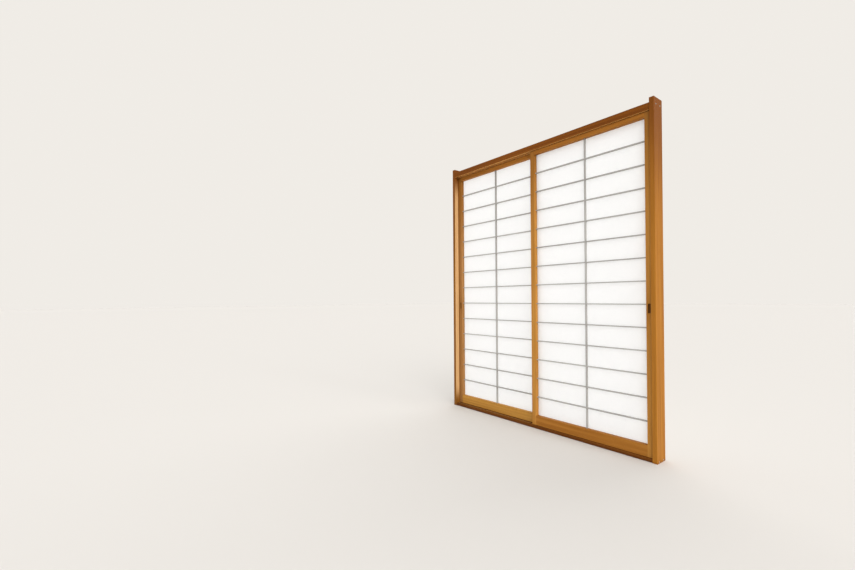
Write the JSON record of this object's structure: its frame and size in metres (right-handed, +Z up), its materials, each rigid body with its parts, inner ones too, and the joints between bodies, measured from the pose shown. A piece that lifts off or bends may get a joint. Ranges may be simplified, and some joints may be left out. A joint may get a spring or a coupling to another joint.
{
  "type": "shoji sliding screen",
  "caption": "Two papered wooden lattice panels that slide past each other in grooves of a wooden frame with head, sill and horned jambs.",
  "frame": {"origin": "on the floor, in the middle of the frame's width and depth", "axes": "+X to the right and +Y away from the room, as seen from the room; +Z up"},
  "size_m": [1.665, 0.1, 2.025],
  "materials": {
    "frame_wood": "aged oiled softwood, amber brown",
    "panel_wood": "planed softwood, honey brown",
    "lattice_wood": "planed softwood, greyed by light",
    "shoji_paper": "matt translucent shoji paper",
    "slip_strip": "satin, rubbed",
    "screw_steel": "zinc plated"
  },
  "bodies": {
    "frame": {"frame_screws": "screw_steel", "head_rail": "frame_wood", "jamb_left": "frame_wood", "jamb_right": "frame_wood", "sill_rail": "frame_wood", "slip_strip_back": "slip_strip", "slip_strip_front": "slip_strip"},
    "front_panel": {"front_panel_bar_01": "lattice_wood", "front_panel_bar_02": "lattice_wood", "front_panel_bar_03": "lattice_wood", "front_panel_bar_04": "lattice_wood", "front_panel_bar_05": "lattice_wood", "front_panel_bar_06": "lattice_wood", "front_panel_bar_07": "lattice_wood", "front_panel_bar_08": "lattice_wood", "front_panel_bar_09": "lattice_wood", "front_panel_bar_10": "lattice_wood", "front_panel_bar_11": "lattice_wood", "front_panel_bar_12": "lattice_wood", "front_panel_bar_13": "lattice_wood", "front_panel_bottom_rail": "panel_wood", "front_panel_paper": "shoji_paper", "front_panel_stile_left": "panel_wood", "front_panel_stile_right": "panel_wood", "front_panel_top_rail": "panel_wood", "front_panel_upright_bar_1": "lattice_wood"},
    "back_panel": {"back_panel_bar_01": "lattice_wood", "back_panel_bar_02": "lattice_wood", "back_panel_bar_03": "lattice_wood", "back_panel_bar_04": "lattice_wood", "back_panel_bar_05": "lattice_wood", "back_panel_bar_06": "lattice_wood", "back_panel_bar_07": "lattice_wood", "back_panel_bar_08": "lattice_wood", "back_panel_bar_09": "lattice_wood", "back_panel_bar_10": "lattice_wood", "back_panel_bar_11": "lattice_wood", "back_panel_bar_12": "lattice_wood", "back_panel_bar_13": "lattice_wood", "back_panel_bottom_rail": "panel_wood", "back_panel_paper": "shoji_paper", "back_panel_stile_left": "panel_wood", "back_panel_stile_right": "panel_wood", "back_panel_top_rail": "panel_wood", "back_panel_upright_bar_1": "lattice_wood"}
  },
  "joints": [
    {"name": "front_slide", "type": "slide", "parent": "frame", "child": "front_panel", "axis": [-1, 0, 0], "range_m": [0, 0.788]},
    {"name": "back_slide", "type": "slide", "parent": "frame", "child": "back_panel", "axis": [1, 0, 0], "range_m": [0, 0.788]}
  ]
}
